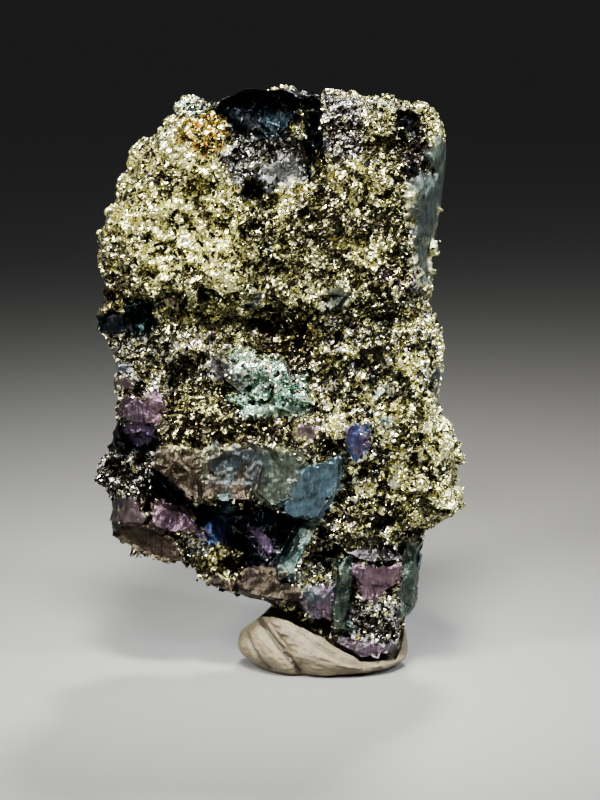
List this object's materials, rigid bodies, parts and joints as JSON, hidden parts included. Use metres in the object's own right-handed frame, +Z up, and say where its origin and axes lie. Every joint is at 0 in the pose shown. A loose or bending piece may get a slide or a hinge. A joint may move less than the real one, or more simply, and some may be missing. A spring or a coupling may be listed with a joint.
{
  "type": "covellite specimen",
  "caption": "Upright rough slab of brassy granular pyrite with iridescent blue-purple covellite plates, its narrow lower end pressed into a small flat-bottomed lump of tan putty.",
  "frame": {"origin": "middle of the whole object's bounding box in X and Y, on the flat underside of the putty", "axes": "+Z up, -Y towards the viewer that the specimen's best face looks at, +X to that viewer's right"},
  "size_m": [0.0384, 0.02, 0.0618],
  "materials": {
    "rock": "metallic, granular, iridescent in places",
    "putty": "matte"
  },
  "bodies": {
    "root": {"specimen": "rock", "putty_foot": "putty"}
  },
  "joints": []
}
